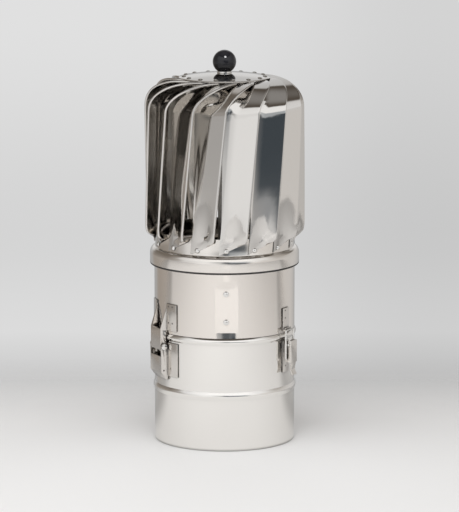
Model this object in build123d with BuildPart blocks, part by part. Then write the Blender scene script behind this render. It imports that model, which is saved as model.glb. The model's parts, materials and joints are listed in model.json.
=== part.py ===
"""Rotating flue cowl on a hinged base.

A cage of twisted vanes spins on an axle carried by a short head tube. The head tilts on a hinge
and is held down on the pipe spigot by a toggle latch. Millimetres, +Z up; the origin is on the pipe's
axis at its lower end. Angles around the axis are in degrees from the front (-Y), positive towards +X.
"""
import os
from math import asin, cos, degrees, radians, sin, sqrt

from build123d import *

# Flue tubes
pipe_radius = 75.0
tube_sheet = 0.8
base_height = 121.0
bead_height = 59.0
bead_width = 9.0
bead_rise = 1.4
rim_width = 7.0
rim_rise = 1.6
tube_gap = 0.3
housing_length = 82.0
flat_depth = 1.05
flat_margin = 4.3

# Rotor ring, which laps over the head tube and carries the vane tabs on its neck
ring_overhang = 4.7
ring_lap = 13.0
ring_sheet = 0.8
skirt_height = 12.2
skirt_curl = 1.5
shoulder_height = 8.0
neck_inset = 1.0
neck_height = 16.5

# Vanes
vane_count = 15
vane_sheet = 0.5
vane_overhang = 11.0
vane_rise = 147.0
vane_corner = 31.5
hem = 2.4
hem_angle = 1.0
hem_lean = 0.0675
hem_swirl = 1.06
hem_cut = 12.0
tab_angle = -22.0
tab_width_angle = 12.0
tab_share = 0.45
tab_rivet_rise = 4.0
crease_turn = 20.8
crease_inset = 16.4
crease_arch_in = 9.1
crease_arch_up = 28.0
crease_swirl = 18.0
crease_end_turn = 6.2
flank_angle = 14.8
flank_swell = 10.0
flank_least = 0.8
vane_end_radius = 41.0

# Top disc with its knob
disc_radius = 48.5
disc_sheet = 0.8
disc_rise = 4.6
disc_rivet_radius = 43.2
disc_rivet_angle = 12.0
knob_diameter = 25.0
knob_height = 22.0
washer_radius = 8.0
washer_thickness = 2.1
stud_radius = 3.0
stud_depth = 8.0
stud_nut_width = 10.0
stud_nut_height = 4.0

# Rivets
rivet_radius = 2.7
rivet_dome = 1.3
spider_rivet_radius = 3.0
shank_radius = 1.6

# Axle, bearings and hub
axle_radius = 5.0
shoulder_radius = 7.0
bearing_outer = 13.0
bearing_width = 8.0
race_radius = 9.0
hub_wall = 3.0
hub_land = 1.0
hub_length = 93.0
bearing_drop = 19.0
nut_width = 16.0
nut_height = 6.0
thread_end = 1.2

# Bearing spider
spider_count = 3
spider_angle = 1.4
spider_width = 18.0
spider_sheet = 2.0
spider_plate_radius = 20.0
spider_drop = 25.3
pad_height = 46.0
pad_margin = 7.0

# Hinge: the upper bracket swings inside the lower one
hinge_angle = -62.0
hinge_width = 22.6
bracket_sheet = 1.2
bracket_stand = 7.8
hinge_pin_radius = 2.0
hinge_pin_stand = 4.4
hinge_pin_drop = 13.5
hinge_web_drop = 3.4
hinge_web_height = 23.0
upper_cheek_rise = 31.0
upper_flange_height = 28.5
lower_cheek_height = 27.5
lower_flange_height = 36.0
lower_web_height = 17.0
lower_web_foot = 8.0
lower_stand = 7.4
flange_angle = 12.0
flange_margin = 4.0
edge_margin = 1.0
knuckle_radius = 3.4
pin_head_radius = 3.2
pin_head = 1.2

# Toggle latch
latch_angle = 59.0
latch_sheet = 1.2
lever_width = 12.0
lever_stand = 11.2
lever_depth = 7.6
lever_pin_radius = 1.5
lever_pin_stand = 7.3
lever_pin_drop = 11.5
lever_above_pin = 4.5
lever_length = 23.5
tongue_width = 8.4
tongue_length = 14.0
tongue_curl = 2.2
ear_radius = 2.3
latch_plate_length = 34.0
latch_plate_width = 12.0
bail_wire = 1.0
bail_stand = 5.6
bail_pivot_drop = 15.5
bail_length = 31.2
bail_bend = 1.6
keeper_width = 12.0
keeper_height = 24.0
hook_height = 3.2

# Clearances
running_gap = 0.05
seat_gap = 0.05
side_gap = 0.4
rivet_gap = 0.12
plate_gap = 0.2

# Heights and radii worked out from the sizes above
rim_bottom = base_height - rim_width
housing_bottom = base_height + tube_gap
housing_top = housing_bottom + housing_length
ring_bottom = housing_top - ring_lap
skirt_top = ring_bottom + skirt_height
neck_bottom = skirt_top + shoulder_height
neck_top = neck_bottom + neck_height
ring_radius = pipe_radius + ring_overhang
neck_radius = pipe_radius - neck_inset
hem_radius = pipe_radius + vane_overhang
vane_shoulder = neck_bottom + vane_rise
vane_top = vane_shoulder + vane_corner
tab_radius = (neck_radius + seat_gap + vane_sheet) / cos(radians(tab_width_angle / 2))
tab_rivet_height = neck_bottom + tab_rivet_rise
disc_rim = vane_top + seat_gap
disc_top = disc_rim + disc_sheet + disc_rise
spider_top = housing_top - spider_drop
hub_radius = bearing_outer + hub_wall
dome_radius = (disc_radius**2 + disc_rise**2) / (2 * disc_rise)
hub_top = disc_top - disc_sheet - dome_radius + sqrt(dome_radius**2 - hub_radius**2) - seat_gap
hub_bottom = hub_top - hub_length
upper_bearing = hub_top - bearing_drop - bearing_width
hinge_pin_radial = pipe_radius + hinge_pin_stand
hinge_pin_height = base_height - hinge_pin_drop
lever_pin_radial = pipe_radius + lever_pin_stand
lever_pin_height = base_height - lever_pin_drop
bail_radial = pipe_radius + bail_stand
bail_pivot_height = lever_pin_height - bail_pivot_drop
bail_top = bail_pivot_height + bail_length
vane_pitch = 360 / vane_count

os.makedirs("parts", exist_ok=True)


def around(radius, angle, height=0.0):
    """Point at a radius, an angle from the front and a height."""
    return Vector(radius * sin(radians(angle)), -radius * cos(radians(angle)), height)


def outward_plane(angle, radius=0.0):
    """Plane seen from outside: x runs around the pipe, y up, and the normal points outwards."""
    return Plane(
        origin=around(radius, angle),
        x_dir=(cos(radians(angle)), sin(radians(angle)), 0),
        z_dir=around(1, angle),
    )


def upright_plane(angle, aside=0.0):
    """Upright plane along a radius: x outwards, y up, moved aside around the pipe."""
    tangent = Vector(cos(radians(angle)), sin(radians(angle)), 0)
    return Plane(origin=tangent * aside, x_dir=around(1, angle), z_dir=tangent * -1)


def chord_depth(radius, aside):
    """How far out a circle of this radius lies at a place beside its middle line."""
    return sqrt(radius**2 - aside**2)


def dome_height(radius, rise):
    """Height of a round cap half-way out from its middle."""
    sphere = (radius**2 + rise**2) / (2 * rise)
    return rise - sphere + sqrt(sphere**2 - radius**2 / 4)


def save(builder, name):
    """Label a finished piece and write it."""
    builder.part.label = name
    export_step(builder.part, f"parts/{name}.step")


# Base pipe: spigot, rolled bead that stops it in the flue, and rolled rim
bead_low = bead_height - bead_width / 2
bead_high = bead_height + bead_width / 2
rim_middle = rim_bottom + rim_width / 2
pipe_inside = pipe_radius - tube_sheet
with BuildPart() as base_pipe:
    with BuildSketch(Plane.XZ):
        with BuildLine():
            Line((pipe_inside, 0), (pipe_radius, 0))
            Line((pipe_radius, 0), (pipe_radius, bead_low))
            ThreePointArc(
                (pipe_radius, bead_low), (pipe_radius + bead_rise, bead_height), (pipe_radius, bead_high)
            )
            Line((pipe_radius, bead_high), (pipe_radius, rim_bottom))
            ThreePointArc(
                (pipe_radius, rim_bottom), (pipe_radius + rim_rise, rim_middle), (pipe_radius, base_height)
            )
            Line((pipe_radius, base_height), (pipe_inside, base_height))
            Polyline(
                (pipe_inside, base_height), (pipe_inside + rim_rise, rim_middle), (pipe_inside, rim_bottom)
            )
            Line((pipe_inside, rim_bottom), (pipe_inside, bead_high))
            Polyline(
                (pipe_inside, bead_high), (pipe_inside + bead_rise, bead_height), (pipe_inside, bead_low)
            )
            Line((pipe_inside, bead_low), (pipe_inside, 0))
        make_face()
    revolve(axis=Axis.Z)
save(base_pipe, "base_pipe")

# Head tube, pressed flat over the legs of the bearing spider and drilled for their rivets
spider_angles = [spider_angle + step * 360 / spider_count for step in range(spider_count)]
pad_bottom = spider_top - pad_height
spider_rivet_heights = [pad_bottom + pad_margin, spider_top - spider_sheet - pad_margin]
flat_height = spider_rivet_heights[-1] + flat_margin - housing_bottom
flat_radius = pipe_radius - flat_depth
flat_inside = flat_radius - tube_sheet
with BuildPart() as housing_tube:
    with BuildSketch(Plane.XY.offset(housing_bottom)):
        Circle(pipe_radius)
    extrude(amount=housing_length)
    with BuildSketch(Plane.XY.offset(housing_bottom)):
        for angle in spider_angles:
            with Locations(Location(around(flat_radius, angle), (0, 0, angle))):
                Rectangle(pipe_radius, flat_depth * 2, align=(Align.CENTER, Align.MAX))
    extrude(amount=flat_height, mode=Mode.SUBTRACT)
    with BuildSketch(Plane.XY.offset(housing_bottom)):
        Circle(pipe_inside)
        for angle in spider_angles:
            with Locations(Location(around(flat_inside, angle), (0, 0, angle))):
                Rectangle(pipe_radius, flat_depth * 2, align=(Align.CENTER, Align.MAX), mode=Mode.SUBTRACT)
    extrude(amount=flat_height + tube_sheet, mode=Mode.SUBTRACT)
    with BuildSketch(Plane.XY.offset(housing_bottom + flat_height + tube_sheet)):
        Circle(pipe_inside)
    extrude(amount=housing_length - flat_height - tube_sheet, mode=Mode.SUBTRACT)
    for angle in spider_angles:
        with BuildSketch(outward_plane(angle)):
            with Locations(*[(0, height) for height in spider_rivet_heights]):
                Circle(shank_radius + seat_gap)
        extrude(amount=pipe_radius + rim_rise, mode=Mode.SUBTRACT)
save(housing_tube, "housing_tube")

# Bearing spider: a round plate with bent strap legs riveted inside the head tube
leg_outside = flat_inside - seat_gap
leg_inside = leg_outside - spider_sheet
with BuildPart() as bearing_spider:
    with BuildSketch(Plane.XY.offset(spider_top - spider_sheet)):
        Circle(spider_plate_radius)
    extrude(amount=spider_sheet)
    for angle in spider_angles:
        with BuildSketch(upright_plane(angle)):
            with BuildLine():
                Polyline(
                    (0, spider_top),
                    (leg_outside - spider_sheet, spider_top),
                    (leg_outside, spider_top - spider_sheet),
                    (leg_outside, pad_bottom),
                    (leg_inside, pad_bottom),
                    (leg_inside, spider_top - spider_sheet),
                    (0, spider_top - spider_sheet),
                    close=True,
                )
            make_face()
        extrude(amount=spider_width / 2, both=True)
    for angle in spider_angles:
        with BuildSketch(outward_plane(angle)):
            with Locations(*[(0, height) for height in spider_rivet_heights]):
                Circle(shank_radius + seat_gap)
        extrude(amount=pipe_radius, mode=Mode.SUBTRACT)
    with BuildSketch(Plane.XY.offset(spider_top)):
        Circle(axle_radius + seat_gap)
    extrude(amount=-spider_sheet, mode=Mode.SUBTRACT)
save(bearing_spider, "bearing_spider")

# Rivets of the spider: domed head outside, flat closed head inside
shank_inside = leg_inside - seat_gap
shank_outside = flat_radius + seat_gap
with BuildPart() as spider_rivet:
    with BuildSketch(Plane.XZ):
        with BuildLine():
            Polyline(
                (0, shank_outside + rivet_dome),
                (0, shank_inside - rivet_dome),
                (spider_rivet_radius, shank_inside - rivet_dome),
                (spider_rivet_radius, shank_inside),
                (shank_radius, shank_inside),
                (shank_radius, shank_outside),
                (spider_rivet_radius, shank_outside),
            )
            ThreePointArc(
                (spider_rivet_radius, shank_outside),
                (spider_rivet_radius / 2, shank_outside + dome_height(spider_rivet_radius, rivet_dome)),
                (0, shank_outside + rivet_dome),
            )
        make_face()
    revolve(axis=Axis.Z)
with BuildPart() as spider_rivets:
    for angle in spider_angles:
        for height in spider_rivet_heights:
            seat = outward_plane(angle)
            seat.origin = (0, 0, height)
            with Locations(seat.location):
                add(spider_rivet.part)
save(spider_rivets, "spider_rivets")

# Rotor ring: curled skirt over the head tube, rolled shoulder and upright neck
with BuildPart() as rotor_ring:
    with BuildSketch(Plane.XZ):
        with BuildLine():
            Polyline(
                (ring_radius - skirt_curl, ring_bottom),
                (ring_radius, ring_bottom + skirt_curl),
                (ring_radius, skirt_top),
            )
            ThreePointArc(
                (ring_radius, skirt_top),
                (ring_radius - 1.5, skirt_top + shoulder_height * 0.58),
                (neck_radius + 1.1, neck_bottom - 1.2),
            )
            Polyline(
                (neck_radius + 1.1, neck_bottom - 1.2),
                (neck_radius, neck_bottom),
                (neck_radius, neck_top),
                (neck_radius - ring_sheet, neck_top),
                (neck_radius - ring_sheet, neck_bottom - ring_sheet / 2),
                (neck_radius + 0.8, neck_bottom - 2.2),
            )
            ThreePointArc(
                (neck_radius + 0.8, neck_bottom - 2.2),
                (ring_radius - 2.2, skirt_top + shoulder_height * 0.5),
                (ring_radius - ring_sheet, skirt_top - ring_sheet / 4),
            )
            Polyline(
                (ring_radius - ring_sheet, skirt_top - ring_sheet / 4),
                (ring_radius - ring_sheet, ring_bottom + skirt_curl + ring_sheet / 2),
                (ring_radius - skirt_curl - ring_sheet / 2, ring_bottom + ring_sheet),
                (ring_radius - skirt_curl, ring_bottom),
            )
        make_face()
    revolve(axis=Axis.Z)
save(rotor_ring, "rotor_ring")


def hem_point(rise, arch, reach):
    """Outer edge of the first vane: up the side, over the shoulder, then in under the disc."""
    height = neck_bottom + rise
    radius = hem_radius - vane_corner * (1 - cos(radians(arch))) - reach
    angle = hem_angle - hem_lean * (vane_shoulder - height) + hem_swirl * (hem_radius - radius)
    return around(radius, angle, height + vane_corner * sin(radians(arch)))


def crease_polar(rise, arch, reach):
    """Radius, angle and height of the diagonal fold that parts the vane's fin from its flank."""
    share = max(0.0, (rise - neck_height) / (vane_rise - neck_height))
    end_share = reach / (hem_radius - vane_corner - vane_end_radius)
    arch_in = crease_arch_in * (1 - cos(radians(arch)))
    fold_start = tab_radius - crease_inset * share - arch_in
    radius = fold_start - end_share * (tab_radius - crease_inset - crease_arch_in - vane_end_radius)
    angle = tab_angle - tab_width_angle / 2 + crease_turn * (0.45 * share + 0.55 * share**2)
    angle += crease_swirl * arch / 90 + crease_end_turn * end_share
    return radius, angle, neck_bottom + rise + crease_arch_up * sin(radians(arch))


def flank_spread(rise, arch):
    """Angle that the flank reaches back behind the fold: nothing at the tab, most at the shoulder."""
    share = max(0.0, (rise - neck_height) / (vane_rise - neck_height))
    return flank_angle * share**3 * cos(radians(arch)) + flank_swell * sin(radians(2 * arch))


def tab_sag(crease, hem_end, back):
    """Depth by which the tab is pressed in from the straight fin to lie on the ring's neck."""
    middle = crease + (hem_end - crease) * tab_share
    flat = Vector(middle.X, middle.Y, 0)
    inward = flat.dot(back)
    return -inward - sqrt(inward**2 - flat.dot(flat) + tab_radius**2)


def vane_section(station, before, after):
    """Closed outline of the folded sheet at one station along the vane."""
    rise, arch, reach, tab_press = station
    radius, angle, height = crease_polar(rise, arch, reach)
    crease = around(radius, angle, height)
    hem_end = hem_point(rise + (hem_cut if rise == 0 else 0), arch, reach)
    travel = hem_point(*after[:3]) - hem_point(*before[:3])
    if arch == 0:
        travel = Vector(0, 0, 1)
    across = (hem_end - crease).normalized()
    back = travel.cross(across).normalized()
    spread = flank_spread(rise, arch) if reach == 0 else 0.0
    if radians(spread) * radius > flank_least:
        flank = around(radius, angle - spread, height)
        flank_back = travel.cross((crease - flank).normalized()).normalized()
    else:
        flank = crease - across * flank_least
        flank_back = back
    crease_back = (back + flank_back).normalized()
    sag = tab_sag(crease, hem_end, back) if tab_press else 0.0
    tab = crease + (hem_end - crease) * tab_share + back * (sag * tab_press)
    lip = hem_end - across * hem
    return [
        flank,
        crease,
        tab,
        lip,
        hem_end,
        hem_end + back * hem,
        lip + back * hem,
        lip + back * vane_sheet,
        tab + back * vane_sheet,
        crease + crease_back * vane_sheet,
        flank + flank_back * vane_sheet,
    ]


# Vanes: one folded and twisted sheet, lofted from tab to disc and repeated round the rotor.
# A station is rise above the neck's foot, degrees over the shoulder, reach in under the disc, tab pressing.
disc_reach = hem_radius - vane_corner - vane_end_radius
stations = [
    (0.0, 0, 0, 1.0),
    (neck_height, 0, 0, 1.0),
    (neck_height * 2.2, 0, 0, 0.25),
    (vane_rise * 0.46, 0, 0, 0.0),
    (vane_rise * 0.68, 0, 0, 0.0),
    (vane_rise * 0.86, 0, 0, 0.0),
    (vane_rise, 0, 0, 0.0),
    (vane_rise, 18, 0, 0.0),
    (vane_rise, 36, 0, 0.0),
    (vane_rise, 54, 0, 0.0),
    (vane_rise, 72, 0, 0.0),
    (vane_rise, 90, 0, 0.0),
    (vane_rise, 90, disc_reach * 0.5, 0.0),
    (vane_rise, 90, disc_reach, 0.0),
]
outlines = []
for index, station in enumerate(stations):
    before = stations[max(index - 1, 0)]
    after = stations[min(index + 1, len(stations) - 1)]
    outlines.append(Wire.make_polygon(vane_section(station, before, after), close=True))
with BuildPart() as first_vane:
    add(Solid.make_loft(outlines, ruled=True))
for number in range(vane_count):
    with BuildPart() as vane:
        with Locations(Location((0, 0, 0), (0, 0, number * vane_pitch))):
            add(first_vane.part)
    save(vane, f"vane_{number + 1:02d}")

# Domed rivet head, standing on the plane z = 0
with BuildPart() as rivet_head:
    with BuildSketch(Plane.XZ):
        with BuildLine():
            Polyline((0, rivet_dome), (0, 0), (rivet_radius, 0))
            ThreePointArc(
                (rivet_radius, 0), (rivet_radius / 2, dome_height(rivet_radius, rivet_dome)), (0, rivet_dome)
            )
        make_face()
    revolve(axis=Axis.Z)

# Rivet heads on the vane tabs
tab_outline = vane_section(stations[1], stations[0], stations[2])
tab_chord = tab_outline[2] - tab_outline[1]
tab_middle = (tab_outline[1] + tab_outline[2]) / 2
tab_normal = tab_chord.cross(Vector(0, 0, 1)).normalized()
tab_seat = Plane(
    origin=Vector(tab_middle.X, tab_middle.Y, tab_rivet_height) + tab_normal * rivet_gap,
    x_dir=tab_chord,
    z_dir=tab_normal,
)
with BuildPart() as ring_rivets:
    for number in range(vane_count):
        with Locations(Location((0, 0, 0), (0, 0, number * vane_pitch)) * tab_seat.location):
            add(rivet_head.part)
save(ring_rivets, "ring_rivets")

# Domed top disc
dome_centre = disc_top - dome_radius
with BuildPart() as top_disc:
    with BuildSketch(Plane.XZ):
        with BuildLine():
            Line((stud_radius + seat_gap, 0), (stud_radius + seat_gap, disc_top + disc_sheet))
            Line((stud_radius + seat_gap, disc_top + disc_sheet), (disc_radius, disc_top + disc_sheet))
            Line((disc_radius, disc_top + disc_sheet), (disc_radius, 0))
            Line((disc_radius, 0), (stud_radius + seat_gap, 0))
        make_face()
        with Locations((0, dome_centre)):
            Circle(dome_radius, mode=Mode.INTERSECT)
            Circle(dome_radius - disc_sheet, mode=Mode.SUBTRACT)
    revolve(axis=Axis.Z)
save(top_disc, "top_disc")

# Rivet heads on the disc, square to its dome
with BuildPart() as disc_rivets:
    for number in range(vane_count):
        foot = around(disc_rivet_radius, disc_rivet_angle + number * vane_pitch)
        rise = sqrt(dome_radius**2 - disc_rivet_radius**2)
        normal = Vector(foot.X, foot.Y, rise).normalized()
        seat = Plane(origin=Vector(0, 0, dome_centre) + normal * (dome_radius + seat_gap), z_dir=normal)
        with Locations(seat.location):
            add(rivet_head.part)
save(disc_rivets, "disc_rivets")

# Ball knob on its washer, screwed on a stud that a nut holds under the disc
knob_radius = knob_diameter / 2
washer_top = disc_top + washer_thickness
knob_centre = washer_top + knob_height - knob_radius
stud_top = washer_top + knob_height / 2
with BuildPart() as knob_washer:
    with BuildSketch(Plane.XY.offset(disc_top)):
        Circle(washer_radius)
        Circle(stud_radius + seat_gap, mode=Mode.SUBTRACT)
    extrude(amount=washer_thickness)
    top_edges = knob_washer.edges().filter_by(GeomType.CIRCLE).group_by(Axis.Z)[-1]
    chamfer(top_edges.sort_by(SortBy.RADIUS)[-1], washer_thickness / 5)
save(knob_washer, "knob_washer")

with BuildPart() as ball_knob:
    with BuildSketch(Plane.XZ):
        with Locations((0, knob_centre)):
            Circle(knob_radius)
        with Locations((0, washer_top)):
            Rectangle(knob_diameter, knob_diameter * 2, align=(Align.MIN, Align.MIN), mode=Mode.INTERSECT)
            Rectangle(
                stud_radius + seat_gap,
                stud_top - washer_top + seat_gap,
                align=(Align.MIN, Align.MIN),
                mode=Mode.SUBTRACT,
            )
    revolve(axis=Axis.Z)
save(ball_knob, "ball_knob")

with BuildPart() as knob_stud:
    with BuildSketch(Plane.XY.offset(disc_top - stud_depth)):
        Circle(stud_radius)
    extrude(amount=stud_top - disc_top + stud_depth)
save(knob_stud, "knob_stud")

stud_nut_top = disc_top - disc_sheet - stud_nut_width**2 / dome_radius / 4
with BuildPart() as knob_nut:
    with BuildSketch(Plane.XY.offset(stud_nut_top - stud_nut_height)):
        RegularPolygon(stud_nut_width / 2, 6, major_radius=False)
        Circle(stud_radius + seat_gap, mode=Mode.SUBTRACT)
    extrude(amount=stud_nut_height)
save(knob_nut, "knob_nut")

# Bearing hub welded under the disc, bored for a ball bearing at each end
with BuildPart() as bearing_hub:
    with BuildSketch(Plane.XY.offset(hub_bottom)):
        Circle(hub_radius)
        Circle(bearing_outer - hub_land, mode=Mode.SUBTRACT)
    extrude(amount=hub_length)
    with BuildSketch(Plane.XY.offset(hub_bottom)):
        Circle(bearing_outer)
    extrude(amount=bearing_width, mode=Mode.SUBTRACT)
    with BuildSketch(Plane.XY.offset(upper_bearing)):
        Circle(bearing_outer)
    extrude(amount=hub_top - upper_bearing, mode=Mode.SUBTRACT)
save(bearing_hub, "bearing_hub")

# Bearings: the inner race stays on the axle, and the shielded outer race turns with the hub
for name, height in (("upper", upper_bearing), ("lower", hub_bottom)):
    with BuildPart() as inner_race:
        with BuildSketch(Plane.XY.offset(height)):
            Circle(race_radius - running_gap)
            Circle(axle_radius + seat_gap, mode=Mode.SUBTRACT)
        extrude(amount=bearing_width)
    save(inner_race, f"{name}_bearing_inner")
    with BuildPart() as outer_race:
        with BuildSketch(Plane.XY.offset(height)):
            Circle(bearing_outer - seat_gap)
            Circle(race_radius, mode=Mode.SUBTRACT)
        extrude(amount=bearing_width)
    save(outer_race, f"{name}_bearing_outer")

with BuildPart() as bearing_spacer:
    with BuildSketch(Plane.XY.offset(hub_bottom + bearing_width)):
        Circle(shoulder_radius)
        Circle(axle_radius + seat_gap, mode=Mode.SUBTRACT)
    extrude(amount=upper_bearing - hub_bottom - bearing_width)
save(bearing_spacer, "bearing_spacer")

# Axle: a shouldered rod bolted to the spider, with a nut above the upper bearing
axle_top = upper_bearing + bearing_width + nut_height + thread_end
axle_bottom = spider_top - spider_sheet - nut_height - thread_end
with BuildPart() as axle:
    with BuildSketch(Plane.XY.offset(axle_bottom)):
        Circle(axle_radius)
    extrude(amount=axle_top - axle_bottom)
    with BuildSketch(Plane.XY.offset(spider_top)):
        Circle(shoulder_radius)
    extrude(amount=hub_bottom - spider_top)
    chamfer(axle.edges().filter_by(GeomType.CIRCLE).sort_by(Axis.Z)[0], thread_end / 2)
    chamfer(axle.edges().filter_by(GeomType.CIRCLE).sort_by(Axis.Z)[-1], thread_end / 2)
save(axle, "axle")

with BuildPart() as axle_nuts:
    for height in (axle_bottom + thread_end, upper_bearing + bearing_width):
        with BuildSketch(Plane.XY.offset(height)):
            RegularPolygon(nut_width / 2, 6, major_radius=False)
            Circle(axle_radius + seat_gap, mode=Mode.SUBTRACT)
        extrude(amount=nut_height)
save(axle_nuts, "axle_nuts")


# Hinge, upper bracket on the head tube: two cheeks, an outer web and a welding flange each side
half_width = hinge_width / 2
web_outside = pipe_radius + bracket_stand
web_inside = web_outside - bracket_sheet
web_bottom = hinge_pin_height - hinge_web_drop
web_top = web_bottom + hinge_web_height
cheek_foot = chord_depth(pipe_radius + seat_gap, half_width - bracket_sheet)
rim_clear = chord_depth(pipe_radius + rim_rise, half_width - bracket_sheet) + side_gap
cheek_angle = degrees(asin((half_width - bracket_sheet / 2) / pipe_radius))
flange_low = housing_bottom + flange_margin
with BuildPart() as hinge_upper_bracket:
    for side in (-1, 1):
        with BuildSketch(upright_plane(hinge_angle, side * half_width)):
            with BuildLine():
                Polyline(
                    (cheek_foot, housing_bottom + upper_cheek_rise),
                    (web_outside, web_top),
                    (web_outside, web_bottom),
                    (hinge_pin_radial, web_bottom - edge_margin),
                    (hinge_pin_radial - hinge_pin_radius * 1.6, hinge_pin_height),
                    (rim_clear, rim_bottom - edge_margin),
                    (rim_clear, housing_bottom + edge_margin),
                    (cheek_foot, housing_bottom + edge_margin * 2),
                    close=True,
                )
            make_face()
            with Locations((hinge_pin_radial, hinge_pin_height)):
                Circle(hinge_pin_radius + running_gap, mode=Mode.SUBTRACT)
        extrude(amount=side * bracket_sheet)
    with BuildSketch(outward_plane(hinge_angle, web_inside)):
        with Locations((0, web_bottom)):
            Rectangle(hinge_width, hinge_web_height, align=(Align.CENTER, Align.MIN))
    extrude(amount=bracket_sheet)
    for start in (cheek_angle, -cheek_angle - flange_angle):
        with BuildSketch(upright_plane(hinge_angle + start)):
            with Locations((pipe_radius + seat_gap, flange_low)):
                Rectangle(bracket_sheet, upper_flange_height, align=(Align.MIN, Align.MIN))
        revolve(axis=Axis.Z, revolution_arc=flange_angle)
save(hinge_upper_bracket, "hinge_upper_bracket")

# Hinge, lower bracket on the base pipe: outer cheeks with rounded tops and a web that runs in to the pipe
lower_inside = half_width + side_gap
lower_outside = lower_inside + bracket_sheet
lower_foot = chord_depth(pipe_radius + seat_gap, lower_inside)
lower_web_outside = pipe_radius + lower_stand
lower_low = hinge_pin_height - lower_cheek_height
lower_angle = degrees(asin((lower_inside + bracket_sheet / 2) / pipe_radius))
with BuildPart() as hinge_lower_bracket:
    for side in (-1, 1):
        with BuildSketch(upright_plane(hinge_angle, side * lower_inside)):
            with BuildLine():
                Polyline(
                    (lower_foot, lower_low - lower_web_foot),
                    (lower_foot + bracket_sheet, lower_low - lower_web_foot),
                    (lower_web_outside, lower_low),
                    (hinge_pin_radial + knuckle_radius, hinge_pin_height),
                    (lower_foot, hinge_pin_height),
                    close=True,
                )
            make_face()
            with Locations((hinge_pin_radial, hinge_pin_height)):
                Circle(knuckle_radius)
                Circle(hinge_pin_radius + seat_gap, mode=Mode.SUBTRACT)
            with Locations((lower_foot, hinge_pin_height)):
                Rectangle(
                    knuckle_radius * 2, knuckle_radius * 4, align=(Align.MAX, Align.CENTER), mode=Mode.SUBTRACT
                )
        extrude(amount=-side * bracket_sheet)
    with BuildSketch(upright_plane(hinge_angle)):
        with BuildLine():
            Polyline(
                (lower_web_outside, lower_low + lower_web_height),
                (lower_web_outside, lower_low),
                (pipe_radius + seat_gap + bracket_sheet, lower_low - lower_web_foot),
                (pipe_radius + seat_gap, lower_low - lower_web_foot),
                (lower_web_outside - bracket_sheet, lower_low + bracket_sheet / 2),
                (lower_web_outside - bracket_sheet, lower_low + lower_web_height),
                close=True,
            )
        make_face()
    extrude(amount=lower_outside, both=True)
    for start in (lower_angle, -lower_angle - flange_angle):
        with BuildSketch(upright_plane(hinge_angle + start)):
            with Locations((pipe_radius + seat_gap, lower_low - lower_web_foot + flange_margin)):
                Rectangle(bracket_sheet, lower_flange_height, align=(Align.MIN, Align.MIN))
        revolve(axis=Axis.Z, revolution_arc=flange_angle)
save(hinge_lower_bracket, "hinge_lower_bracket")

pin_reach = lower_outside + seat_gap
with BuildPart() as hinge_pin:
    with BuildSketch(upright_plane(hinge_angle)):
        with Locations((hinge_pin_radial, hinge_pin_height)):
            Circle(hinge_pin_radius)
    extrude(amount=pin_reach + pin_head, both=True)
    for side in (-1, 1):
        with BuildSketch(upright_plane(hinge_angle, side * pin_reach)):
            with Locations((hinge_pin_radial, hinge_pin_height)):
                Circle(pin_head_radius)
        extrude(amount=-side * pin_head)
save(hinge_pin, "hinge_pin")

# Latch base on the pipe: flat plate with two ears for the lever's pin
plate_inside = pipe_radius + plate_gap
plate_outside = plate_inside + latch_sheet
ear_outside = lever_width / 2 - latch_sheet - side_gap
plate_top = rim_bottom - edge_margin
with BuildPart() as latch_base:
    with BuildSketch(outward_plane(latch_angle, plate_inside)):
        with Locations((0, plate_top)):
            Rectangle(latch_plate_width, latch_plate_length, align=(Align.CENTER, Align.MAX))
    extrude(amount=latch_sheet)
    for side in (-1, 1):
        with BuildSketch(upright_plane(latch_angle, side * ear_outside)):
            with BuildLine():
                Polyline(
                    (plate_inside + latch_sheet / 2, lever_pin_height),
                    (lever_pin_radial, lever_pin_height + ear_radius),
                    (lever_pin_radial + ear_radius, lever_pin_height),
                    (lever_pin_radial, lever_pin_height - ear_radius),
                    (plate_inside + latch_sheet / 2, lever_pin_height - ear_radius * 4),
                    close=True,
                )
            make_face()
            with Locations((lever_pin_radial, lever_pin_height)):
                Circle(ear_radius)
                Circle(lever_pin_radius + seat_gap, mode=Mode.SUBTRACT)
        extrude(amount=side * latch_sheet)
save(latch_base, "latch_base")

with BuildPart() as latch_lever_pin:
    with BuildSketch(upright_plane(latch_angle)):
        with Locations((lever_pin_radial, lever_pin_height)):
            Circle(lever_pin_radius)
    extrude(amount=lever_width / 2 + plate_gap, both=True)
save(latch_lever_pin, "latch_lever_pin")

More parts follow.
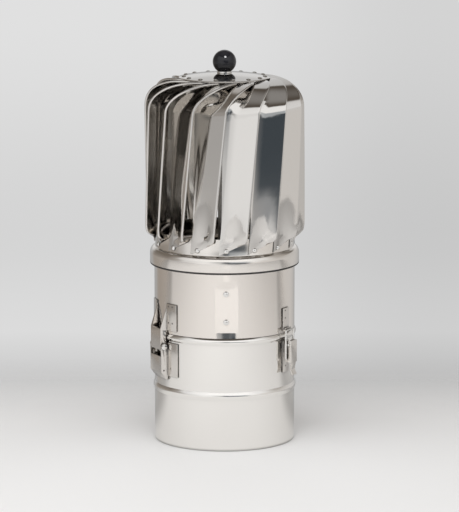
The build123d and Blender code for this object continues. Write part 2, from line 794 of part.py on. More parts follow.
# Latch lever: a pressed channel with a curled finger tongue
lever_outside = pipe_radius + lever_stand
lever_web = lever_outside - latch_sheet
lever_inside = lever_outside - lever_depth
lever_top = lever_pin_height + lever_above_pin
lever_bottom = lever_top - lever_length
tongue_tip = lever_bottom - tongue_length
with BuildPart() as latch_lever:
    for side in (-1, 1):
        with BuildSketch(upright_plane(latch_angle, side * lever_width / 2)):
            with BuildLine():
                Polyline(
                    (lever_outside, lever_top),
                    (lever_inside + 2.0, lever_top),
                    (lever_inside, lever_top - 2.0),
                    (lever_inside, lever_bottom + 2.0),
                    (lever_inside + 2.0, lever_bottom),
                    (lever_outside, lever_bottom),
                    close=True,
                )
            make_face()
            with Locations((lever_pin_radial, lever_pin_height)):
                Circle(lever_pin_radius + running_gap, mode=Mode.SUBTRACT)
            with Locations((bail_radial, bail_pivot_height)):
                Circle(bail_wire + running_gap, mode=Mode.SUBTRACT)
        extrude(amount=side * latch_sheet)
    with BuildSketch(outward_plane(latch_angle, lever_web)):
        with Locations((0, lever_top)):
            Rectangle(lever_width, lever_length, align=(Align.CENTER, Align.MAX))
    extrude(amount=latch_sheet)
    with BuildSketch(upright_plane(latch_angle)):
        with BuildLine():
            Polyline(
                (lever_outside, lever_bottom + 1.0),
                (lever_outside, lever_bottom),
                (lever_outside - tongue_curl / 2, lever_bottom - tongue_length * 0.35),
                (lever_outside - tongue_curl / 2, lever_bottom - tongue_length * 0.65),
                (lever_outside + tongue_curl / 2, tongue_tip + 0.6),
                (lever_web + tongue_curl / 2, tongue_tip),
                (lever_web - tongue_curl / 2, lever_bottom - tongue_length * 0.65),
                (lever_web - tongue_curl / 2, lever_bottom - tongue_length * 0.35),
                (lever_web, lever_bottom),
                (lever_web, lever_bottom + 1.0),
                close=True,
            )
        make_face()
    extrude(amount=tongue_width / 2, both=True)
save(latch_lever, "latch_lever")

# Bail: a wire loop that pivots in the lever's walls and pulls on the keeper
bail_leg = lever_width / 2 + side_gap * 2 + bail_wire
bail_tip = lever_width / 2 - latch_sheet - plate_gap
with BuildPart() as latch_bail:
    with BuildLine(outward_plane(latch_angle, bail_radial)) as bail_path:
        FilletPolyline(
            (bail_tip, bail_pivot_height),
            (bail_leg, bail_pivot_height),
            (bail_leg, bail_top),
            (-bail_leg, bail_top),
            (-bail_leg, bail_pivot_height),
            (-bail_tip, bail_pivot_height),
            radius=bail_bend,
        )
    with BuildSketch(Plane(origin=bail_path.line @ 0, z_dir=bail_path.line % 0)):
        Circle(bail_wire)
    sweep(path=bail_path.line)
save(latch_bail, "latch_bail")

# Keeper on the head tube: flat plate with an upturned hook for the bail
hook_outside = bail_radial - bail_wire - plate_gap * 3
hook_bottom = bail_top - bail_wire
with BuildPart() as latch_keeper:
    with BuildSketch(upright_plane(latch_angle)):
        with BuildLine():
            Polyline(
                (plate_inside, hook_bottom),
                (hook_outside, hook_bottom),
                (hook_outside, hook_bottom + hook_height),
                (hook_outside - latch_sheet, hook_bottom + hook_height),
                (hook_outside - latch_sheet, hook_bottom + latch_sheet),
                (plate_outside, hook_bottom + latch_sheet),
                (plate_outside, hook_bottom + keeper_height),
                (plate_inside, hook_bottom + keeper_height),
                close=True,
            )
        make_face()
    extrude(amount=keeper_width / 2, both=True)
save(latch_keeper, "latch_keeper")
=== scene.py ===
"""Looks of a rotating flue cowl: polished sheet tubes, twisted vanes, hinge, toggle latch and ball knob.

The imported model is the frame. Sheet-metal pieces are rebuilt here with rolled edges and true curves, and the
small pressed and turned pieces are the frame's own shapes with softened edges.
"""
from __future__ import annotations

import json
import logging
import math
from dataclasses import dataclass, field
from enum import Enum
from typing import Iterable, Sequence, Union

import bmesh
import bpy
from bmesh.types import BMesh
from mathutils import Matrix, Vector

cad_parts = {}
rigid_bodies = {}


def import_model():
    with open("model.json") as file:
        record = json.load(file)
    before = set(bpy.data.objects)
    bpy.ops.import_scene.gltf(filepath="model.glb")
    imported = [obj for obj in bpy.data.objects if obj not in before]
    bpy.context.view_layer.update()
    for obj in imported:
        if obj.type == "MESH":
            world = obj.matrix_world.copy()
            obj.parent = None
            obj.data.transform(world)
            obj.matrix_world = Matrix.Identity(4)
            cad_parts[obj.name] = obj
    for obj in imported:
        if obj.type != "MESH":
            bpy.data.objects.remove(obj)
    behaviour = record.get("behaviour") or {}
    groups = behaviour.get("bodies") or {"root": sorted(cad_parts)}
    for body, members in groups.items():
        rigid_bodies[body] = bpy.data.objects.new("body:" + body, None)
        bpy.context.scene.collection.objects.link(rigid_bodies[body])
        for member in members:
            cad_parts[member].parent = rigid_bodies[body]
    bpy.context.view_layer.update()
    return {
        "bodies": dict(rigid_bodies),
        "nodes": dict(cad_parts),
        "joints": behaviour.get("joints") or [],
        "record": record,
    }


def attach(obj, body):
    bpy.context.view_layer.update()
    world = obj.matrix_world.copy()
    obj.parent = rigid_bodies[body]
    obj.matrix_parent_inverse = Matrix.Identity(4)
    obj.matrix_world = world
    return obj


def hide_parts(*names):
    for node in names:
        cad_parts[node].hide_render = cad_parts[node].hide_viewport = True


LOG = logging.getLogger("flue_cowl")
MM = 0.001
Tree = bpy.types.NodeTree
Socket = bpy.types.NodeSocket
Pair = tuple[float, float]
Profile = Sequence[Pair]
Color = tuple[float, float, float]
Place = tuple[float, float, float]
Stop = tuple[float, Color]
Source = Union[Socket, float, tuple[float, ...]]
# Sockets of a Mix node that are used when it mixes colours: share, first and second, then the result
MIX_INPUTS = (0, 6, 7)
MIX_OUTPUT = 2


class Slot(Enum):
    """Material slots of the record."""

    POLISHED = "polished_stainless"
    BRACKET = "bracket_stainless"
    FASTENER = "fastener_steel"
    PLAIN = "plain_steel"
    KNOB = "knob_plastic"


class Body(Enum):
    """Rigid bodies of the frame."""

    BASE = "base"
    HEAD = "head"
    ROTOR = "rotor"
    LEVER = "lever"
    BAIL = "bail"


@dataclass(frozen=True)
class Finish:
    """Constants of one surface finish.

    Attributes:
        slot: Record slot that the finish belongs to.
        color: Linear base colour.
        metallic: Metallic share.
        roughness: Mean roughness.
        wobble: Strength of the sheet's slow unevenness.
        smear: Spread of the roughness over the surface.
        seam_shade: How far painted shade darkens the colour in seams and crevices.
        specular: Level of the mirror-like share of a non-metal.
    """

    slot: Slot
    color: Color
    metallic: float
    roughness: float
    wobble: float = 0.0
    smear: float = 0.0
    seam_shade: float = 0.0
    specular: float = 0.5


FINISHES: dict[str, Finish] = {
    # The last number of tube, head and bracket is how far painted shade darkens their seams and contact lines.
    "tube": Finish(Slot.POLISHED, (0.885, 0.865, 0.835), 1.0, 0.085, 0.035, 0.03, 0.85),
    "head": Finish(Slot.POLISHED, (0.835, 0.79, 0.745), 1.0, 0.095, 0.045, 0.03, 0.85),
    "vane": Finish(Slot.POLISHED, (0.70, 0.68, 0.655), 1.0, 0.07, 0.03, 0.02),
    "vane_inside": Finish(Slot.POLISHED, (0.70, 0.67, 0.63), 1.0, 0.15, 0.03, 0.04),
    "ring": Finish(Slot.POLISHED, (0.81, 0.775, 0.735), 1.0, 0.12, 0.03, 0.03),
    "bracket": Finish(Slot.BRACKET, (0.72, 0.69, 0.655), 1.0, 0.14, 0.03, 0.04, 0.9),
    # spot: the weld spots are real; their dark colour is painted shade of their dimples.
    "spot": Finish(Slot.BRACKET, (0.20, 0.19, 0.18), 1.0, 0.35),
    # lip: near-black colour that paints the shade under the ring's curled skirt.
    "lip": Finish(Slot.POLISHED, (0.035, 0.033, 0.032), 0.4, 0.55),
    "fastener": Finish(Slot.FASTENER, (0.80, 0.79, 0.77), 1.0, 0.10),
    "plain": Finish(Slot.PLAIN, (0.52, 0.52, 0.51), 1.0, 0.32, 0.0, 0.05),
    "knob": Finish(Slot.KNOB, (0.008, 0.008, 0.010), 0.0, 0.05, specular=0.4),
}


def at(radius: float, angle: float, height: float) -> Vector:
    """Place a point around the axis.

    Args:
        radius: Distance from the axis in millimetres.
        angle: Degrees from the front, positive towards +X.
        height: Height in millimetres.

    Returns:
        The point in metres.
    """
    turn = math.radians(angle)
    return Vector((radius * math.sin(turn), -radius * math.cos(turn), height)) * MM


def arc(centre: Pair, radius: float, start: float, end: float, steps: int) -> list[Pair]:
    """Points along a circular arc of a profile, end points included.

    Args:
        centre: Centre as radius and height.
        radius: Arc radius.
        start: First angle in degrees, from the outward direction.
        end: Last angle in degrees.
        steps: Number of spans.

    Returns:
        Profile points.
    """
    points = []
    for step in range(steps + 1):
        turn = math.radians(start + (end - start) * step / steps)
        points.append((centre[0] + radius * math.cos(turn), centre[1] + radius * math.sin(turn)))
    return points


def grey(level: float, warmth: float = 0.0) -> Color:
    """Grey of a level, a little warm or, below zero, cool.

    Args:
        level: Brightness.
        warmth: Share moved from blue to red.

    Returns:
        Linear colour.
    """
    return level * (1 + warmth), level, level * (1 - warmth)


def bearing(degrees: float) -> float:
    """Place on the walls' ramp of a direction in degrees left of the camera, as seen from the object.

    Args:
        degrees: Positive to the left, from -180 to 180.

    Returns:
        Ramp position from 0 to 1.
    """
    turn = math.radians(degrees)
    return math.atan2(-math.sin(turn), -math.cos(turn)) / math.tau + 0.5


def ring_of(*stops: tuple[float, ...]) -> tuple[Stop, ...]:
    """Ramp round the horizon.

    Args:
        stops: Bearing, level and, unless it is 0, warmth; the first one lies straight ahead, at the camera.

    Returns:
        Stops in ramp order, closed at the camera's bearing.
    """
    ahead = grey(*stops[0][1:])
    rest = sorted((bearing(degrees), grey(*tone)) for degrees, *tone in stops[1:])
    return ((0.0, ahead), *rest, (1.0, ahead))


def feed(tree: Tree, target: Socket, source: Source) -> None:
    """Link a socket to an input, or set the input's value.

    Args:
        tree: Node tree.
        target: The input.
        source: Socket, value or colour.
    """
    if isinstance(source, Socket):
        tree.links.new(source, target)
    else:
        target.default_value = source


def worked(tree: Tree, operation: str, *sources: Source) -> Socket:
    """Work a value out from others.

    Args:
        tree: Node tree.
        operation: Operation of a Math node.
        sources: What it works on, in order.

    Returns:
        The result.
    """
    node = tree.nodes.new("ShaderNodeMath")
    node.operation = operation
    for target, source in zip(node.inputs, sources):
        feed(tree, target, source)
    return node.outputs["Value"]


def ranged(tree: Tree, source: Socket, limits: tuple[float, ...], kind: str = "LINEAR") -> Socket:
    """Map one range of values to another.

    Args:
        tree: Node tree.
        source: Value to map.
        limits: Lower and upper end of the values, then what they become.
        kind: How it runs between the ends.

    Returns:
        The mapped value.
    """
    node = tree.nodes.new("ShaderNodeMapRange")
    node.interpolation_type = kind
    for label, value in zip(("From Min", "From Max", "To Min", "To Max"), limits):
        node.inputs[label].default_value = value
    tree.links.new(source, node.inputs["Value"])
    return node.outputs["Result"]


def blended(tree: Tree, share: Source, first: Source, second: Source, kind: str = "MIX") -> Socket:
    """Mix two colours.

    Args:
        tree: Node tree.
        share: Share of the second colour.
        first: First colour.
        second: Second colour.
        kind: How they are mixed.

    Returns:
        The mixed colour.
    """
    node = tree.nodes.new("ShaderNodeMix")
    node.data_type = "RGBA"
    node.blend_type = kind
    for target, source in zip(MIX_INPUTS, (share, first, second)):
        feed(tree, node.inputs[target], source)
    return node.outputs[MIX_OUTPUT]


def ramp(tree: Tree, source: Socket, stops: Sequence[Stop]) -> Socket:
    """Lay a colour ramp over a value.

    Args:
        tree: Node tree.
        source: Value from 0 to 1.
        stops: Places and colours.

    Returns:
        The colour.
    """
    node = tree.nodes.new("ShaderNodeValToRGB")
    node.color_ramp.interpolation = "EASE"
    elements = node.color_ramp.elements
    while len(elements) < len(stops):
        elements.new(0.5)
    for element, (place, color) in zip(elements, stops):
        element.position = place
        element.color = (*color, 1.0)
    tree.links.new(source, node.inputs[0])
    return node.outputs["Color"]


def rising(start: float, end: float) -> tuple[Stop, ...]:
    """Ramp from black to white between two places."""
    return (0.0, grey(0.0)), (start, grey(0.0)), (end, grey(1.0)), (1.0, grey(1.0))


TABLE = grey(0.83)
# Painted shade: the table behind the object, as polished pieces mirror it.
TABLE_MIRRORED_SHADE = grey(0.50)
CARD = grey(1.0, 0.01)
# Backdrop by height; the dip at 0.394 is a painted shadow band where the table meets the backdrop.
BACKGROUND: tuple[Stop, ...] = (
    (0.0, grey(0.66)),
    (0.386, grey(0.66)),
    (0.394, grey(0.54)),
    (0.402, grey(0.69)),
    (0.417, grey(0.64)),
    (0.452, grey(0.725)),
    (1.0, grey(0.725)),
)
# Painted shade: the right half of the backdrop is darker, as the light comes from the left.
BACKDROP_SIDE_SHADE: tuple[Stop, ...] = ((0.0, grey(1.03)), (0.495, grey(1.03)), (0.53, grey(0.90)), (1.0, grey(0.90)))
BELOW_WALLS = ring_of(
    (0, 0.72), (14, 0.90), (30, 1.0), (62, 0.80), (84, 0.50, 0.03), (104, 0.40, 0.08),
    (138, 0.34, 0.10), (154, 0.42), (179, 0.36), (-130, 0.62, 0.02), (-100, 0.64, 0.03),
    (-66, 0.76, 0.03), (-44, 0.80, 0.02), (-30, 0.42), (-14, 0.38, -0.03),
)
LOW_WALLS = ring_of(
    (0, 0.40, -0.03), (10, 0.85), (30, 1.0), (62, 0.78), (76, 0.50, 0.02), (88, 0.36, 0.06),
    (104, 0.30, 0.10), (138, 0.25, 0.12), (154, 0.50), (179, 0.45), (-130, 0.60, 0.02),
    (-100, 0.62, 0.03), (-66, 0.74, 0.03), (-46, 0.80, 0.02), (-32, 0.12, -0.10),
    (-18, 0.075, -0.18), (-8, 0.10, -0.14),
)
MIDDLE_WALLS = ring_of(
    (0, 0.10, -0.12), (5, 0.50), (30, 0.95), (60, 0.80), (80, 0.38, 0.06), (102, 0.22, 0.12),
    (140, 0.20, 0.12), (158, 0.70), (179, 0.78), (-140, 0.60, 0.02), (-100, 0.55, 0.04),
    (-66, 0.75, 0.02), (-46, 0.95), (-30, 0.60, -0.04), (-9, 0.45, -0.06), (-5, 0.10, -0.12),
)
HIGH_WALLS = ring_of(
    (0, 1.1), (20, 1.1), (45, 1.0), (72, 0.80), (88, 0.30, 0.08), (104, 0.17, 0.14),
    (150, 0.15, 0.16), (163, 0.50, 0.04), (179, 0.66), (-160, 0.55, 0.02), (-142, 0.14, 0.12),
    (-100, 0.45, 0.06), (-62, 0.90), (-36, 1.1), (-16, 1.1),
)
CEILING: tuple[Stop, ...] = ((0.0, grey(0.08, 0.18)), (0.9, grey(0.09, 0.18)), (1.0, grey(0.30, 0.04)))
LOW = rising(0.458, 0.48)
MIDDLE = rising(0.535, 0.56)
HIGH = rising(0.62, 0.67)
OVERHEAD = rising(0.85, 0.89)


@dataclass(frozen=True)
class Softbox:
    """One rectangular lamp.

    Attributes:
        name: Object name.
        place: Where it hangs, in metres.
        target: Point that it faces.
        size: Width and height in metres.
        power: Watts.
        mirrored: Whether polished pieces show it.
    """

    name: str
    place: Place
    target: Place
    size: Pair
    power: float
    mirrored: bool = False


STRIP_BOX = Softbox("strip_box", (-0.16, -0.7, 1.3), (-0.16, -0.7, 0.0), (1.3, 1.7), 13.4)
KEY_BOX = Softbox("key_box", (-0.15, -2.4, 2.1), (0.0, 0.0, 0.3), (1.4, 0.7), 16.0)
SPARK_BOX = Softbox("spark_box", (0.42, -1.85, 2.85), (0.0, 0.0, 0.4), (0.9, 0.9), 60.0, mirrored=True)


@dataclass(frozen=True)
class Studio:
    """Camera, light and backdrop of the photograph; metres and degrees, lens and sensor in millimetres."""

    lens: float = 250.39
    sensor: float = 36.0
    camera_place: Place = (0.005333, -3.365010, 0.786529)
    camera_tilt: float = 80.062
    table_place: Place = (0.0, -0.2, 0.0)
    table_half: Pair = (2.4, 1.2)
    table_roughness: float = 0.7
    table_fade: Pair = (0.04, 0.42)
    # Depth over which the table turns to its painted shade in mirror rays.
    mirrored_shade_span: Pair = (0.0, 0.12)
    card_place: Place = (0.05, -0.95, 0.002)
    card_half: Pair = (0.07, 0.25)

    def build(self) -> None:
        """Create the whole set, apart from the knob's own lamp."""
        self._camera()
        self._world()
        self._table()
        self._card()
        self._hang(STRIP_BOX)
        self._hang(KEY_BOX)
        scene = bpy.context.scene
        scene.view_settings.view_transform = "Standard"
        scene.view_settings.look = "None"

    def spark(self, knob: bpy.types.Object) -> None:
        """Hang the lamp whose mirror image is the crisp highlight on the ball knob alone.

        Args:
            knob: The ball knob.
        """
        lamp = self._hang(SPARK_BOX)
        receivers = bpy.data.collections.new("spark_receivers")
        receivers.objects.link(knob)
        lamp.light_linking.receiver_collection = receivers

    def _camera(self) -> None:
        """Place the camera that was fitted to the rims of the tubes."""
        data = bpy.data.cameras.new("camera")
        data.sensor_fit = "HORIZONTAL"
        data.sensor_width = self.sensor
        data.lens = self.lens
        data.clip_start = 0.05
        data.clip_end = 50.0
        camera = bpy.data.objects.new("camera", data)
        camera.location = self.camera_place
        camera.rotation_euler = (math.radians(self.camera_tilt), 0.0, 0.0)
        bpy.context.scene.collection.objects.link(camera)
        bpy.context.scene.camera = camera

    def _world(self) -> None:
        """Make the walls that polished pieces mirror and the backdrop that the camera sees, with a painted
        shadow band where table and backdrop meet and painted shade on its right side.
        """
        world = bpy.data.worlds.new("studio")
        world.use_nodes = True
        tree = world.node_tree
        coords = tree.nodes.new("ShaderNodeTexCoord")
        split = tree.nodes.new("ShaderNodeSeparateXYZ")
        tree.links.new(coords.outputs["Generated"], split.inputs[0])
        aside = split.outputs["X"]
        turn = worked(tree, "ARCTAN2", aside, split.outputs["Y"])
        around = worked(tree, "MULTIPLY_ADD", turn, 1 / math.tau, 0.5)
        height = worked(tree, "MULTIPLY_ADD", split.outputs["Z"], 0.5, 0.5)
        color = ramp(tree, around, BELOW_WALLS)
        for stops, source, share in (
            (LOW_WALLS, around, LOW),
            (MIDDLE_WALLS, around, MIDDLE),
            (HIGH_WALLS, around, HIGH),
            (CEILING, height, OVERHEAD),
        ):
            color = blended(tree, ramp(tree, height, share), color, ramp(tree, source, stops))
        side_shade = ramp(tree, worked(tree, "MULTIPLY_ADD", aside, 0.5, 0.5), BACKDROP_SIDE_SHADE)
        backdrop = blended(tree, 1.0, ramp(tree, height, BACKGROUND), side_shade, "MULTIPLY")
        path = tree.nodes.new("ShaderNodeLightPath")
        seen = blended(tree, path.outputs["Is Camera Ray"], color, backdrop)
        background = tree.nodes["Background"]
        background.inputs["Strength"].default_value = 1.0
        tree.links.new(seen, background.inputs["Color"])
        bpy.context.scene.world = world

    def _table(self) -> None:
        """Lay a pale table top that fades into the pale background behind the object; behind the object,
        polished pieces mirror it darker, a painted shade in their reflections.
        """
        material = bpy.data.materials.new("table")
        material.use_nodes = True
        tree = material.node_tree
        shader = tree.nodes["Principled BSDF"]
        shader.inputs["Roughness"].default_value = self.table_roughness
        coords = tree.nodes.new("ShaderNodeTexCoord")
        split = tree.nodes.new("ShaderNodeSeparateXYZ")
        tree.links.new(coords.outputs["Object"], split.inputs[0])
        depth = split.outputs["Y"]
        fade = ranged(tree, depth, (*self.table_fade, 1.0, 0.0), "SMOOTHSTEP")
        tree.links.new(fade, shader.inputs["Alpha"])
        # Painted shade: behind the object the table turns darker in mirror rays alone.
        behind = ranged(tree, depth, (*self.mirrored_shade_span, 0.0, 1.0), "SMOOTHSTEP")
        path = tree.nodes.new("ShaderNodeLightPath")
        mirrored = worked(tree, "MULTIPLY", behind, path.outputs["Is Glossy Ray"])
        tone = blended(tree, mirrored, (*TABLE, 1.0), (*TABLE_MIRRORED_SHADE, 1.0))
        tree.links.new(tone, shader.inputs["Base Color"])
        table = self._sheet("table", self.table_place, self.table_half, material)

    def _card(self) -> None:
        """Lay a glowing card before the object, for the pressed flat to mirror; its back is clear."""
        material = bpy.data.materials.new("pale_card")
        material.use_nodes = True
        tree = material.node_tree
        shader = tree.nodes["Principled BSDF"]
        side = tree.nodes.new("ShaderNodeNewGeometry")
        front = worked(tree, "SUBTRACT", 1.0, side.outputs["Backfacing"])
        tree.links.new(front, shader.inputs["Alpha"])
        shader.inputs["Base Color"].default_value = (0.0, 0.0, 0.0, 1.0)
        shader.inputs["Roughness"].default_value = 1.0
        shader.inputs["Emission Color"].default_value = (*CARD, 1.0)
        shader.inputs["Emission Strength"].default_value = 1.0
        card = self._sheet("pale_card", self.card_place, self.card_half, material)
        card.visible_camera = False
        card.visible_diffuse = False
        card.visible_shadow = False

    @staticmethod
    def _sheet(name: str, place: Place, half: Pair, material: bpy.types.Material) -> bpy.types.Object:
        """Lay a flat rectangle.

        Args:
            name: Object name.
            place: Its middle in metres.
            half: Half its width and depth in metres.
            material: Its material.

        Returns:
            The object.
        """
        bm = bmesh.new()
        laid = Matrix.Translation(place) @ Matrix.Diagonal((*half, 1.0, 1.0))
        bmesh.ops.create_grid(bm, x_segments=1, y_segments=1, size=1.0, matrix=laid)
        mesh = bpy.data.meshes.new(name)
        bm.to_mesh(mesh)
        bm.free()
        mesh.materials.append(material)
        sheet = bpy.data.objects.new(name, mesh)
        bpy.context.scene.collection.objects.link(sheet)
        return sheet

    @staticmethod
    def _hang(box: Softbox) -> bpy.types.Object:
        """Hang one lamp.

        Args:
            box: Its place, size and power.

        Returns:
            The lamp.
        """
        light = bpy.data.lights.new(box.name, "AREA")
        light.shape = "RECTANGLE"
        light.size = box.size[0]
        light.size_y = box.size[1]
        light.energy = box.power
        lamp = bpy.data.objects.new(box.name, light)
        lamp.location = box.place
        aim = Vector(box.target) - Vector(box.place)
        lamp.rotation_euler = aim.to_track_quat("-Z", "Y").to_euler()
        lamp.visible_glossy = box.mirrored
        bpy.context.scene.collection.objects.link(lamp)
        return lamp


@dataclass
class Finisher:
    """Makes one material per finish, with shared node groups for polishing marks and for painted shade in
    seams.

    Attributes:
        fine: Scale and detail of the noise in the roughness.
        slow: Scale and detail of the noise in the surface.
        bump_depth: Depth of the unevenness in metres.
        seam_reach: How near another surface has to lie to darken a seam, in metres.
        seam_samples: Rays that look for it.
        seam_open: Openness at which a seam is darkest and at which it ends.
        seam_shade_color: Colour of the painted shade in a seam.
    """

    fine: Pair = (60.0, 3.0)
    slow: Pair = (18.0, 1.0)
    bump_depth: float = 0.002
    seam_reach: float = 0.0035
    seam_samples: int = 8
    seam_open: Pair = (0.45, 0.92)
    seam_shade_color: Color = grey(0.03, 0.15)

    def __post_init__(self) -> None:
        """Build the shared groups."""
        self._polish = self._polish_group()
        self._seams = self._seam_group()
        self._materials: dict[str, bpy.types.Material] = {}

    def material(self, name: str) -> bpy.types.Material:
        """Return the material of a finish, made once.

        Args:
            name: Key in FINISHES.

        Returns:
            The material.
        """
        if name not in self._materials:
            self._materials[name] = self._make(name, FINISHES[name])
        return self._materials[name]

    def _polish_group(self) -> Tree:
        """Group that gives a roughness and a slightly uneven normal.

        Returns:
            The group.
        """
        tree = bpy.data.node_groups.new("polish", "ShaderNodeTree")
        for label in ("Roughness", "Smear", "Wobble"):
            tree.interface.new_socket(label, in_out="INPUT", socket_type="NodeSocketFloat")
        tree.interface.new_socket("Roughness", in_out="OUTPUT", socket_type="NodeSocketFloat")
        tree.interface.new_socket("Normal", in_out="OUTPUT", socket_type="NodeSocketVector")
        inside = tree.nodes.new("NodeGroupInput")
        outside = tree.nodes.new("NodeGroupOutput")
        centred = worked(tree, "SUBTRACT", self._noise(tree, *self.fine), 0.5)
        spread = worked(tree, "MULTIPLY_ADD", centred, inside.outputs["Smear"], inside.outputs["Roughness"])
        bump = tree.nodes.new("ShaderNodeBump")
        bump.inputs["Distance"].default_value = self.bump_depth
        tree.links.new(self._noise(tree, *self.slow), bump.inputs["Height"])
        tree.links.new(inside.outputs["Wobble"], bump.inputs["Strength"])
        tree.links.new(spread, outside.inputs["Roughness"])
        tree.links.new(bump.outputs["Normal"], outside.inputs["Normal"])
        return tree

    @staticmethod
    def _noise(tree: Tree, scale: float, detail: float) -> Socket:
        """Noise over the piece's own coordinates.

        Args:
            tree: Node tree.
            scale: Scale of the noise.
            detail: Its finer layers.

        Returns:
            The value.
        """
        coords = tree.nodes.new("ShaderNodeTexCoord")
        noise = tree.nodes.new("ShaderNodeTexNoise")
        noise.inputs["Scale"].default_value = scale
        noise.inputs["Detail"].default_value = detail
        tree.links.new(coords.outputs["Object"], noise.inputs["Vector"])
        return noise.outputs["Fac"]

    def _seam_group(self) -> Tree:
        """Group that paints shade into a colour where another surface lies close by.

        Returns:
            The group.
        """
        tree = bpy.data.node_groups.new("seams", "ShaderNodeTree")
        tree.interface.new_socket("Color", in_out="INPUT", socket_type="NodeSocketColor")
        tree.interface.new_socket("Seam Shade", in_out="INPUT", socket_type="NodeSocketFloat")
        tree.interface.new_socket("Color", in_out="OUTPUT", socket_type="NodeSocketColor")
        inside = tree.nodes.new("NodeGroupInput")
        outside = tree.nodes.new("NodeGroupOutput")
        # Painted shade: ambient occlusion darkens the colour near other surfaces.
        near = tree.nodes.new("ShaderNodeAmbientOcclusion")
        near.samples = self.seam_samples
        near.inputs["Distance"].default_value = self.seam_reach
        share = ranged(tree, near.outputs["AO"], (*self.seam_open, 1.0, 0.0))
        amount = worked(tree, "MULTIPLY", share, inside.outputs["Seam Shade"])
        color = blended(tree, amount, inside.outputs["Color"], (*self.seam_shade_color, 1.0))
        tree.links.new(color, outside.inputs["Color"])
        return tree

    def _make(self, name: str, finish: Finish) -> bpy.types.Material:
        """Make the material of a finish.

        Args:
            name: Material name.
            finish: Its constants.

        Returns:
            The material.
        """
        material = bpy.data.materials.new(name)
        material.use_nodes = True
        nodes = material.node_tree.nodes
        links = material.node_tree.links
        shader = nodes["Principled BSDF"]
        shader.inputs["Base Color"].default_value = (*finish.color, 1.0)
        shader.inputs["Metallic"].default_value = finish.metallic
        shader.inputs["Roughness"].default_value = finish.roughness
        shader.inputs["Specular IOR Level"].default_value = finish.specular
        if finish.wobble or finish.smear:
            marks = nodes.new("ShaderNodeGroup")
            marks.node_tree = self._polish
            marks.inputs["Roughness"].default_value = finish.roughness
            marks.inputs["Smear"].default_value = finish.smear
            marks.inputs["Wobble"].default_value = finish.wobble
            links.new(marks.outputs["Roughness"], shader.inputs["Roughness"])
            links.new(marks.outputs["Normal"], shader.inputs["Normal"])
        # Painted shade in seams and along contact lines.
        if finish.seam_shade:
            seams = nodes.new("ShaderNodeGroup")
            seams.node_tree = self._seams
            seams.inputs["Color"].default_value = (*finish.color, 1.0)
            seams.inputs["Seam Shade"].default_value = finish.seam_shade
            links.new(seams.outputs["Color"], shader.inputs["Base Color"])
        return material


@dataclass
class Shop:
    """Turns bmesh work into finished pieces that ride on the frame."""

    frame: dict
    finisher: Finisher = field(default_factory=Finisher)

    def lathe(self, profile: Profile, segments: int) -> BMesh:
        """Spin a closed profile round the axis.

        Args:
            profile: Points as radius and height in millimetres.
            segments: Steps of the full turn.

        Returns:
            The bmesh.
        """
        bm = bmesh.new()
        verts = [bm.verts.new((max(r, 0.0) * MM, 0.0, z * MM)) for r, z in profile]
        edges = [bm.edges.new((a, b)) for a, b in zip(verts, verts[1:] + verts[:1])]
        bmesh.ops.spin(
            bm,
            geom=verts + edges,
            cent=(0.0, 0.0, 0.0),
            axis=(0.0, 0.0, 1.0),
            angle=math.tau,
            steps=segments,
            use_merge=True,
        )
        bmesh.ops.remove_doubles(bm, verts=bm.verts, dist=1e-7)
        return bm

    def piece(
        self,
        name: str,
        bm: BMesh,
        finish: str,
        body: Body,
        stands_for: Iterable[str] = (),
        sharp: float = 35.0,
    ) -> bpy.types.Object:
        """Finish a bmesh as one visible piece.

        Args:
            name: Object name.
            bm: Mesh in place, freed here.
            finish: Key in FINISHES.
            body: Body that the piece rides on.
            stands_for: Frame nodes that it replaces.
            sharp: Angle in degrees above which an edge stays sharp.

        Returns:
            The object.
        """
        bmesh.ops.recalc_face_normals(bm, faces=bm.faces)
        mesh = bpy.data.meshes.new(name)
        bm.to_mesh(mesh)
        bm.free()
        mesh.shade_smooth()
        mesh.set_sharp_from_angle(angle=math.radians(sharp))
        mesh.materials.append(self.finisher.material(finish))
        obj = bpy.data.objects.new(name, mesh)
        bpy.context.scene.collection.objects.link(obj)
        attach(obj, body.value)
        nodes = list(stands_for)
        if nodes:
            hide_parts(*nodes)
        LOG.info("made %s", name)
        return obj

    def softened(self, node: str, finish: str, body: Body, width: float) -> bpy.types.Object:
        """Rebuild a pressed or turned frame node with rounded edges.

        Args:
            node: Frame node.
            finish: Key in FINISHES.
            body: Body that the node belongs to.
            width: Edge rounding in millimetres, 0 for none.

        Returns:
            The object that stands for the node.
        """
        bm = bmesh.new()
        bm.from_mesh(self.frame["nodes"][node].data)
        bmesh.ops.remove_doubles(bm, verts=bm.verts, dist=2e-6)
        bmesh.ops.dissolve_limit(
            bm, angle_limit=math.radians(1.0), use_dissolve_boundaries=False, verts=bm.verts, edges=bm.edges
        )
        if width:
            limit = math.radians(50.0)
            crisp = [e for e in bm.edges if len(e.link_faces) == 2 and e.calc_face_angle(0.0) > limit]
            bmesh.ops.bevel(
                bm,
                geom=crisp,
                offset=width * MM,
                offset_type="OFFSET",
                segments=2,
                profile=0.5,
                affect="EDGES",
                clamp_overlap=True,
                material=-1,
            )
        return self.piece(node + "_skin", bm, finish, body, [node])


